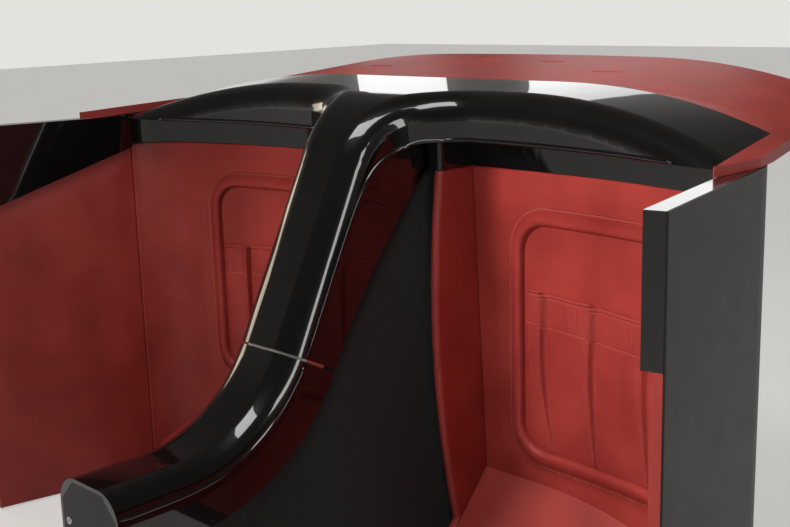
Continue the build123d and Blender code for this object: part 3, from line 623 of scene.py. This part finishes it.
rings = []
for inset_mm, height_mm in RING_PROFILE:
    loop = []
    for number, (x, z, bend_share) in enumerate(ring_path(inset_mm * MM)):
        crown = smooth_step(height_mm, 2.0, 9.0)
        inner = smooth_step(inset_mm, 12, 20)
        wrinkle = 0.25 * bend_share * inner * math.sin(number * 1.3) * crown
        lumps = 0.3 * crown * soft_noise((x, 0, z), 30, 11)
        loop.append(on_ring(x, z, (height_mm + wrinkle + lumps) * MM))
    rings.append(loop)
around = len(rings[0])
points = [p for loop in rings for p in loop]
faces = []
for i in range(len(rings)):
    for j in range(around):
        k, n = (j + 1) % around, (i + 1) % len(rings)
        faces.append((i * around + j, i * around + k, n * around + k, n * around + j))
ring_left = finish_mesh("ring_hide_left", points, faces, pocket_hide, 60)
for each in both_sides(ring_left, "ring_hide", "red_leather_soft", "pocket_ring"):
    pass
print("ring:", around, "places round,", len(RING_PROFILE), "across")

# %% [markdown]
# ## Stitches
# Thread is drawn as short rounded dashes, 4.2 mm apart on the ring and 3.6 mm on the pocket. Both pitches are
# picked for looks, so they say nothing about the real size. Each dash is a capsule, slightly sunk in the hide.
# A run of them is joined to one mesh, since a thousand separate objects would only slow Blender down.

# %% Stitches
def stitch_run(name, places, length_mm=2.7, radius_mm=0.42):
    """One mesh of small capsules, each from a centre, a direction along it and a direction off the hide."""
    points, faces = [], []
    for centre, direction, off in places:
        side = direction.cross(off)
        base = len(points)
        for share, size in ((-0.5, 0.35), (-0.36, 0.95), (0.36, 0.95), (0.5, 0.35)):
            for k in range(6):
                turn = math.tau * k / 6
                reach = side * math.cos(turn) + off * math.sin(turn)
                points.append(centre + direction * (share * length_mm * MM) + reach * (size * radius_mm * MM))
        faces += tube_faces(4, 6, base)
    return finish_mesh(name, points, faces, thread, 80)


def even_places(line, pitch_mm):
    """Places along a closed or open line of points at an even pitch, with the direction there."""
    places, left = [], 0.0
    for a, b in zip(line, line[1:]):
        span = (b - a).length
        while left < span:
            places.append((a.lerp(b, left / span), (b - a).normalized()))
            left += pitch_mm * MM
        left -= span
    return places


ring_seam = [on_ring(x, z, 2.25 * MM) for x, z, share in ring_path(1.6 * MM)]
ring_seam.append(ring_seam[0])
OFF_PANEL = Vector((0, -1, 0))
slanted = []
for centre, direction in even_places(ring_seam, 4.2):
    across = direction.cross(OFF_PANEL).normalized()
    slanted.append((centre, (direction * 0.35 + across * 0.94).normalized(), OFF_PANEL))
stitches = stitch_run("ring_stitches_left", slanted, 2.8, 0.55)
both_sides(stitches, "ring_stitches", "red_leather_soft")
print("stitches round one ring:", len(slanted))

# %% [markdown]
# ## Gathered pockets
# Each pocket is one thin hide with three raised pleats. Its top is a thick turned hem, and between two rows of
# stitches a gathered band ripples, so the bays under it hang in soft folds. How it is gathered isn't to be seen.
# Cloth simulation would wash out folds this fine, so the hide is drawn as a height over the panel:
# an overall bulge that opens to the mouth, plus the pleats, the gathers, the hem and the two seams.

# %% Pocket shape
POCKET_X0, POCKET_X1, POCKET_FOOT, POCKET_CORNER = 0.1763, 0.4272, 0.1975, 0.035
HEM_LEFT, HEM_FALL = 0.4163, 0.013
PLEATS = [(0.204, 0.020), (0.285, 0.008), (0.373, 0.007)]  # left edge at the hem, and its drift to the foot
# Distance right of a pleat's left edge, and height against the bay, in millimetres
PLEAT_PROFILE = [(-16, 0.0), (-6.0, -1.2), (-2.0, -3.2), (-0.6, -4.2), (0.1, -0.8), (0.8, 3.8),
                 (2.2, 5.6), (4.0, 5.7), (6.0, 4.5), (8.0, 2.4), (10.0, 0.4), (12.5, -1.4),
                 (15.0, -1.9), (18.5, -0.8), (24.0, 0.2), (34.0, 0.0)]
HEM_SEAM, BAND_SEAM = 5.5, 44.0  # millimetres below the hem's top


def between(value, stops):
    """A smooth value between listed stops."""
    if value <= stops[0][0]:
        return stops[0][1]
    for (x0, y0), (x1, y1) in zip(stops, stops[1:]):
        if value < x1:
            return y0 + (y1 - y0) * smooth_step(value, x0, x1)
    return stops[-1][1]


def hem_height(x):
    """Top of the hem above the floor, a little lower on each pleat."""
    fall = HEM_FALL * (x - POCKET_X0) / (POCKET_X1 - POCKET_X0)
    dips = sum(smooth_step(x, edge - 0.003, edge + 0.001) * smooth_step(edge + 0.017, x, x + 0.001)
               if edge - 0.003 < x < edge + 0.017 else 0 for edge, _ in PLEATS)
    return HEM_LEFT - fall - 0.0018 * dips


def pocket_bottom(x):
    """Lower edge of the pocket, with its round corners."""
    reach = min(x - POCKET_X0, POCKET_X1 - x)
    return POCKET_FOOT + rolled(reach, POCKET_CORNER / MM)


def bay_share(x):
    """Where a place lies in its bay, from 0 just right of a pleat to 1 at the next one."""
    edges = [POCKET_X0 - 0.012] + [edge for edge, _ in PLEATS] + [POCKET_X1]
    for start, stop in zip(edges, edges[1:]):
        if x < stop:
            return (x - start) / (stop - start)
    return 1.0


def pocket_height(x, z):
    """How far the pocket's hide stands off the back panel, in millimetres."""
    top, bottom = hem_height(x), pocket_bottom(x)
    up = (z - bottom) / (top - bottom)
    below = (top - z) / MM
    height = 3.2 + 3.9 * smooth_step(up, 0, 0.8) + 1.7 * math.sin(math.pi * min(max(up, 0), 1))
    height += 1.2 * math.sin(math.pi * bay_share(x)) * smooth_step(up, 0.05, 0.5)
    height -= 2.2 * smooth_step(PLEATS[0][0] + 0.002, x, x + 0.006) * smooth_step(up, 0.1, 0.6)
    for edge, drift in PLEATS:
        line = edge + drift * (1 - up) ** 3
        squeeze = 0.40 + 0.28 * smooth_step(up, 0.0, 0.7) + 0.32 * (1 - smooth_step(below, 30, 65))
        strength = 0.45 + 0.55 * smooth_step(up, 0.0, 0.7)
        height += strength * between((x - line) / MM / squeeze, PLEAT_PROFILE)
    share = bay_share(x)
    gather = smooth_step(below, HEM_SEAM, 14) * (1 - smooth_step(below, 30, BAND_SEAM))
    gather *= smooth_step(share, 0.22, 0.7) * (1 - smooth_step(share, 0.93, 1.0))
    gather *= 0.6 + 0.4 * soft_noise((x, 0, z), 35, 8)
    height += 0.6 * gather * math.sin(math.tau * (x / MM / 10.5 + 1.5 * soft_noise((x, 0, z * 0.4), 34, 4)))
    height += 0.35 * gather * soft_noise((x, 0, z * 0.25), 7, 13)
    soft = math.sin(math.tau * (x / MM / 44 + 0.6 * soft_noise((x, 0, z), 110, 6)))
    height += 0.55 * smooth_step(below, BAND_SEAM, 80) * smooth_step(up, 0.05, 0.4) * soft
    for seam, depth in ((HEM_SEAM, 0.7), (BAND_SEAM, 0.9)):
        height -= depth * math.exp(-((below - seam) / 0.9) ** 2)
    height += 0.9 * smooth_step(HEM_SEAM - below, 0.4, 2.5) * (1 - smooth_step(0.8 - below, 0, 0.8))
    ends = smooth_step(min(x - POCKET_X0, POCKET_X1 - x) / MM, 0, 9)
    foot = smooth_step((z - bottom) / MM, 0, 6)
    height = 1.9 + (height - 1.9) * (0.25 + 0.75 * ends) * (0.3 + 0.7 * foot)
    return min(max(height, 1.9), 13.6)


# %% Pocket mesh
HIDE_MM = 1.5
columns_x = [POCKET_X0 + 0.0004]
while columns_x[-1] < POCKET_X1 - 0.0012:
    near = min(abs(columns_x[-1] - edge - 0.006) for edge, _ in PLEATS)
    columns_x.append(columns_x[-1] + (0.0007 if near < 0.014 else 0.0012))
rows_t = [k / 60 * 0.78 for k in range(60)] + [0.78 + 0.22 * k / 44 for k in range(45)]
front, back = [], []
for t in rows_t:
    front_row, back_row = [], []
    for x in columns_x:
        bottom = pocket_bottom(x)
        z = bottom + t * (hem_height(x) - bottom)
        height = pocket_height(x, z)
        front_row.append(on_ring(x, z, height * MM))
        back_row.append(on_ring(x, z, (height - HIDE_MM) * MM))
    front.append(front_row)
    back.append(back_row)
hide_area = 0.0
for low, high in zip(front, front[1:]):
    for a, b, c, d in zip(low, low[1:], high, high[1:]):
        hide_area += (b - a).cross(c - a).length / 2 + (c - b).cross(d - b).length / 2
pocket_left = finish_mesh("pocket_hide_left", *grid_solid(front, back), pocket_hide, 75)
print("pocket columns and rows:", len(columns_x), len(rows_t), "hide area", round(hide_area, 4), "square metres")


# %% Pocket seams
def pocket_seam(below_mm, proud_mm):
    """A line of points across the pocket, a distance below its hem."""
    return [on_ring(x, hem_height(x) - below_mm * MM,
                    (pocket_height(x, hem_height(x) - below_mm * MM) + proud_mm) * MM) for x in columns_x[3:-3]]


seams = []
for below_mm in (HEM_SEAM, BAND_SEAM):
    seams += [(centre, direction, OFF_PANEL) for centre, direction in even_places(pocket_seam(below_mm, 0.12), 3.6)]
pocket_thread = stitch_run("pocket_stitches_left", seams, 2.2, 0.33)
thread_pair = both_sides(pocket_thread, "pocket_stitches", "red_leather_soft")

TUCK_WIDE, TUCK_DEEP = 13.5, 26.0  # millimetres of hide behind each pleat's front fold
points, faces = [], []
for edge, _ in PLEATS:
    front, back = [], []
    for t in (0.0, 0.35, 0.7, 0.9, 0.96, 1.0):
        row = [edge + (-1.5 + TUCK_WIDE * k / 9) * MM for k in range(10)]
        left_bay = pocket_height(edge - 0.004, hem_height(edge - 0.004) - 0.004)
        rounding = 0.5 * (1 - t) if t > 0.9 else 0.0
        front.append([on_ring(x, hem_height(edge - 0.005) - 0.0006 * k + 0.0002 - TUCK_DEEP * (1 - t) * MM,
                              (left_bay - 0.4 - rounding) * MM) for k, x in enumerate(row)])
        back.append([p + Vector((0, HIDE_MM * MM, 0)) for p in front[-1]])
    tuck_points, tuck_faces = grid_solid(front, back)
    faces += [tuple(len(points) + i for i in face) for face in tuck_faces]
    points += tuck_points
tuck_left = finish_mesh("pocket_tucks_left", points, faces, pocket_hide, 60)
both_sides(tuck_left, "pocket_tucks", "red_leather_soft")
pocket_pair = both_sides(pocket_left, "pocket_hide", "red_leather_soft", "pocket")
# The drawn hide's face covers 0.0596 square metres, about 281 mm by 212. The rest of the 300 is judged, for the
# gathers.
print("pocket stitches:", len(seams))

# %% [markdown]
# ## Parcel shelf
# The shelf is a crowned board under the same hide, with four narrow vent slots punched through.
# The frame's board already has the right crown, so a copy of it is taken, and a bevel in a few steps rolls the
# hide over every edge, round the slots too.

# %% Shelf
def reshaped(node, name, material, steps):
    """A copy of a frame part's mesh after some modifiers, as a new piece."""
    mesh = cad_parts[node].data.copy()
    piece = bpy.data.objects.new(name, mesh)
    bpy.context.collection.objects.link(piece)
    for kind, settings in steps:
        modifier = piece.modifiers.new(kind.lower(), kind)
        for key, value in settings.items():
            setattr(modifier, key, value)
    view = bpy.context.evaluated_depsgraph_get()
    made = bpy.data.meshes.new_from_object(piece.evaluated_get(view))
    piece.modifiers.clear()
    piece.data = made
    made.name = name
    made.materials.clear()
    made.materials.append(material)
    for polygon in made.polygons:
        polygon.use_smooth = True
    return piece


ROLL = ("BEVEL", {"width": 2.4 * MM, "segments": 4, "limit_method": "ANGLE", "angle_limit": math.radians(38)})
shelf = reshaped("parcel_shelf", "shelf_hide", panel_hide, [ROLL])
place(shelf, "red_leather", "parcel_shelf")
print("shelf faces:", len(shelf.data.polygons))

# %% [markdown]
# ## Beads on the mouldings
# A thin raised bead runs down both edges of the spine, turns through the T's inner corners and follows the
# beam's lip. The bright lines in the photograph are read as light on such a bead, which is a guess.
# Its path is guessed from the frame's sizes, then every point is pulled on to the moulding's own surface.

# %% Beads
BEAD_MM = 3.0


def surface_of(node):
    """A search tree over a frame part's surface."""
    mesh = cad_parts[node].data
    return BVHTree.FromPolygons([v.co for v in mesh.vertices], [p.vertices for p in mesh.polygons])


def tube_along(name, centres, offs, radius, material, sides=10):
    """A closed tube with dished ends through a line of centres, each with a direction off the surface."""
    points = []
    for i, (centre, off) in enumerate(zip(centres, offs)):
        ahead = (centres[min(i + 1, len(centres) - 1)] - centres[max(i - 1, 0)]).normalized()
        side = ahead.cross(off).normalized()
        up = side.cross(ahead).normalized()
        end = min(i, len(centres) - 1 - i)
        size = radius * (0.25, 0.75, 0.95, 1.0)[min(end, 3)]
        for k in range(sides):
            turn = math.tau * k / sides
            points.append(centre + side * (size * math.cos(turn)) + up * (size * math.sin(turn)))
    return finish_mesh(name, points, tube_faces(len(centres), sides), material, 70)


def bead(name, node, line, lift_mm=0.5):
    """A bead that follows a rough line, pulled on to a part's surface and evened out."""
    tree = surface_of(node)
    for _ in range(120):
        line = [line[0]] + [(a + b * 2 + c) / 4 for a, b, c in zip(line, line[1:], line[2:])] + [line[-1]]
    centres, offs = [], []
    for point in line:
        spot, normal, _, _ = tree.find_nearest(point)
        centres.append(spot + normal * (lift_mm * MM))
        offs.append(normal)
    for _ in range(6):
        inner = [(a + b * 2 + c) / 4 for a, b, c in zip(centres, centres[1:], centres[2:])]
        centres = [centres[0]] + inner + [centres[-1]]
    return tube_along(name, centres, offs, BEAD_MM * MM, lacquer)


SPINE_HALF, OVERHANG, TEE_RADIUS, LIP_Z = 0.060, 0.075, 0.090, 0.612
BROW, SEAM = (-0.1886, 0.5986), (-0.3038, 0.3726)  # depth and height of the spine's straight face
SLOPE = math.radians(63)
bead_depth = 0.026
BEAD_Z, TURN_FOOT = LIP_Z + 0.0022, 0.5915  # heights of the bead along the lip and at the foot of its turn
line = []
for k in range(40):
    share = k / 39
    y = SEAM[0] + (BROW[0] - SEAM[0]) * share + bead_depth * math.sin(SLOPE)
    z = SEAM[1] + (BROW[1] - SEAM[1]) * share - bead_depth * math.cos(SLOPE)
    line.append(Vector((SPINE_HALF, ROW_Y + y, z + 0.003)))
for k in range(1, 33):
    turn = math.radians(90) * k / 32
    x = SPINE_HALF + TEE_RADIUS * (1 - math.cos(turn))
    y = -OVERHANG - TEE_RADIUS + TEE_RADIUS * math.sin(turn)
    z = BEAD_Z - (BEAD_Z - TURN_FOOT) * (1 - k / 32) ** 2.5
    line.append(Vector((x, ROW_Y + y, z)))
for k in range(1, 13):
    line.append(Vector((0.150 + 0.050 * k / 12, ROW_Y - OVERHANG, BEAD_Z)))
for k in range(1, 60):
    turn = math.radians(18.5) * k / 59
    front_radius = BEND_RADIUS - OVERHANG
    line.append(Vector((STRAIGHT + front_radius * math.sin(turn),
                        ROW_Y - BEND_RADIUS + front_radius * math.cos(turn), BEAD_Z)))
both_sides(bead("beam_bead_left", "beam_spine", line), "beam_bead", "gloss_black")

SWEEP, SWEEP_RADIUS, LEVEL_RUN = (-0.4704, 0.4575), 0.187, 0.088
line = []
for k in range(2, 61):
    turn = math.radians(63) * (1 - k / 60)
    reach = SWEEP_RADIUS + bead_depth
    line.append(Vector((SPINE_HALF, ROW_Y + SWEEP[0] + reach * math.sin(turn), SWEEP[1] - reach * math.cos(turn))))
for k in range(1, 16):
    line.append(Vector((SPINE_HALF, ROW_Y + SWEEP[0] - LEVEL_RUN * k / 15,
                        SWEEP[1] - SWEEP_RADIUS - bead_depth)))
both_sides(bead("spine_bead_left", "spine_lower", line), "spine_bead", "gloss_black")
print("beads of", 2 * BEAD_MM, "mm on the beam and the lower spine")

# %% [markdown]
# ## Rivets behind
# The photo shows neither the back nor a rivet. Blind rivets are a usual way to hold such a sheet to its boards,
# so a few are guessed there and on the plate at the spine's front end.
# A blind rivet leaves a low dome with a small hole where its pin snapped off.
# Each is turned from one profile and set on the sheet wherever a straight ray meets it.

# %% Rivets
# Radius and height over the sheet, in millimetres, from the rim to the middle of the pin hole
RIVET_PROFILE = [(4.8, -0.2), (4.8, 0.35), (4.4, 0.95), (3.4, 1.45), (2.0, 1.6), (1.5, 1.4), (1.35, 0.6), (0.05, 0.5)]
AROUND = 18


def rivet_row(name, node, starts, toward):
    """One mesh of rivet heads, each where a ray from its start meets a frame part."""
    tree = surface_of(node)
    points, faces = [], []
    for start in starts:
        spot, normal, _, _ = tree.ray_cast(start, toward)
        turn = normal.to_track_quat("Z", "Y").to_matrix()
        base = len(points)
        for radius, height in RIVET_PROFILE:
            for k in range(AROUND):
                angle = math.tau * k / AROUND
                reach = Vector((radius * math.cos(angle), radius * math.sin(angle), height)) * MM
                points.append(spot + turn @ reach)
        faces += tube_faces(len(RIVET_PROFILE), AROUND, base)
    return finish_mesh(name, points, faces, rivet_metal, 45)


behind = [Vector((x, 1.0, z)) for z in (0.045, 0.215, 0.385, 0.545) for x in (0.13, 0.27, 0.41)]
sheet_rivets = rivet_row("sheet_rivets_left", "bulkhead_sheet", behind, Vector((0, -1, 0)))
both_sides(sheet_rivets, "sheet_rivets", "bare_aluminium")
ahead = [Vector((0.044, -2.0, z)) for z in (0.050, 0.215)]
plate_rivets = rivet_row("plate_rivets_left", "console_end_plate", ahead, Vector((0, 1, 0)))
both_sides(plate_rivets, "plate_rivets", "bare_aluminium")
print("rivets:", 2 * (len(behind) + len(ahead)))

# %% [markdown]
# ## Floor, light and camera
# A pale floor and a soft studio. Of two narrow front lamps the strong one stands well to the picture's left,
# so that the pleats' shadows fall as in the photo. Both are hidden from mirror reflections, which no real lamp could
# be, so that the lacquer stays black. A roof box and a door box draw the bright lines on it, a warm box fills from the
# far side, and two dim ones behind show in the beam's top. All were placed by trial.
# The camera stands about where the photographer did, at the open left door. The photo pins it only loosely.

# %% Floor and backdrop
def clear_view(tree):
    """One for camera, mirror and transmission rays, and zero for the rays that carry light to the object."""
    rays = add_node(tree, "ShaderNodeLightPath")
    clear_rays = add_node(tree, "ShaderNodeMath", {"operation": "MAXIMUM"},
                          {0: rays.outputs["Is Glossy Ray"], 1: rays.outputs["Is Transmission Ray"]})
    return add_node(tree, "ShaderNodeMath", {"operation": "MAXIMUM"},
                    {0: rays.outputs["Is Camera Ray"], 1: clear_rays.outputs[0]}).outputs[0]


def plain_surface(name, colour):
    """A pale matt studio surface with a trace of mottling."""
    material, tree, shader, place = new_material(name)
    mottle = add_node(tree, "ShaderNodeTexNoise", {"Scale": 3.0, "Detail": 2.0}, {"Vector": place})
    tone = add_node(tree, "ShaderNodeValToRGB", {}, {"Fac": mottle.outputs["Fac"]})
    ramp_stops(tone, [(0.0, colour), (1.0, "#A5A3A0")])
    tree.links.new(tone.outputs["Color"], shader.inputs["Base Color"])
    shader.inputs["Roughness"].default_value = 0.9
    glow = add_node(tree, "ShaderNodeMath", {"operation": "MULTIPLY", 1: 0.56}, {0: clear_view(tree)})
    shader.inputs["Emission Color"].default_value = linear("#E9E7E4")
    tree.links.new(glow.outputs[0], shader.inputs["Emission Strength"])
    return material


floor_mesh = bpy.data.meshes.new("studio_floor")
reach = 14.0
corners = [(-reach, -reach, 0), (reach, -reach, 0), (reach, reach, 0), (-reach, reach, 0)]
floor_mesh.from_pydata(corners, [], [(0, 1, 2, 3)])
floor = bpy.data.objects.new("studio_floor", floor_mesh)
bpy.context.collection.objects.link(floor)
floor.location.z = cad_box[0][2] - 0.0005
floor_mesh.materials.append(plain_surface("studio floor paint, pale", "#979592"))

world = bpy.data.worlds.new("studio")
bpy.context.scene.world = world
world.use_nodes = True
tree = world.node_tree
heading = add_node(tree, "ShaderNodeTexCoord").outputs["Generated"]
height = add_node(tree, "ShaderNodeSeparateXYZ", {}, {"Vector": heading}).outputs["Z"]
sky = add_node(tree, "ShaderNodeValToRGB", {}, {"Fac": height})
ramp_stops(sky, [(0.0, "#E4E2DF"), (0.045, "#E4E2DF"), (0.10, "#8C8A87"), (0.26, "#4E4C4A")])
backdrop = add_node(tree, "ShaderNodeBackground", {"Strength": 1.0}, {"Color": sky.outputs["Color"]})
ambient = add_node(tree, "ShaderNodeBackground", {"Color": linear("#E9E7E4"), "Strength": 0.2})
both = add_node(tree, "ShaderNodeMixShader", {}, {0: clear_view(tree), 1: ambient.outputs[0], 2: backdrop.outputs[0]})
tree.links.new(both.outputs[0], tree.nodes["World Output"].inputs["Surface"])
print("floor at z", round(floor.location.z, 4))

# %% Lamps
def soft_box(name, place, aim, width, height, power, colour="#FFFFFF"):
    """A rectangular area lamp that faces a point."""
    lamp = bpy.data.lights.new(name, "AREA")
    lamp.shape = "RECTANGLE"
    lamp.size, lamp.size_y = width, height
    lamp.energy = power
    lamp.color = linear(colour)[:3]
    holder = bpy.data.objects.new(name, lamp)
    bpy.context.collection.objects.link(holder)
    holder.location = place
    holder.rotation_euler = (Vector(aim) - Vector(place)).to_track_quat("-Z", "Y").to_euler()
    return holder


low_key = soft_box("low_key_box", (1.0, -2.1, 0.95), (0.26, 0.06, 0.62), 0.7, 0.4, 0.5)
side_key = soft_box("side_key_box", (-0.68, -1.98, 1.26), (0.31, 0.06, 0.66), 0.5, 0.4, 3.7)
for key, spread_degrees in ((low_key, 32), (side_key, 46)):
    key.data.spread = math.radians(spread_degrees)
    key.visible_glossy = False
soft_box("door_box", (2.3, -0.9, 1.15), (0.0, -0.1, 0.4), 0.4, 1.2, 12)
soft_box("roof_box", (0.1, -0.9, 2.4), (0.0, 0.0, 0.45), 1.5, 0.6, 26)
soft_box("far_window_box", (-2.4, -0.75, 1.0), (0.0, -0.2, 0.5), 1.2, 0.5, 10, "#F6E6CC")
soft_box("rear_window_left", (-1.39, 1.41, 1.0), (0.0, 0.0, 0.68), 0.26, 0.42, 0.55)
soft_box("rear_window_right", (-0.72, 1.72, 1.15), (0.3, 0.0, 0.67), 0.7, 0.5, 1.8)
print("lamps: 7")

# %% Camera
def look(place, yaw_left, pitch_down, roll, focal_px, width_px):
    """A camera from angles in degrees: left of straight rearward, down, and clockwise roll."""
    data = bpy.data.cameras.new("photo_camera")
    data.sensor_fit = "HORIZONTAL"
    data.sensor_width = 36.0
    data.lens = 36.0 * focal_px / width_px
    data.clip_start, data.clip_end = 0.02, 60
    camera = bpy.data.objects.new("photo_camera", data)
    bpy.context.collection.objects.link(camera)
    yaw, pitch = math.radians(yaw_left), math.radians(pitch_down)
    ahead = Vector((-math.sin(yaw) * math.cos(pitch), math.cos(yaw) * math.cos(pitch), -math.sin(pitch)))
    turn = ahead.to_track_quat("-Z", "Y").to_matrix().to_4x4()
    camera.matrix_world = Matrix.Translation(place) @ turn @ Matrix.Rotation(math.radians(roll), 4, "Z")
    return camera


bpy.context.scene.camera = look((1.131, -1.129, 0.790), 44.9, 12.5, -1.64, 1200, 790)
bpy.context.scene.view_settings.view_transform = "Standard"
print("camera at", [round(c, 3) for c in bpy.context.scene.camera.location])
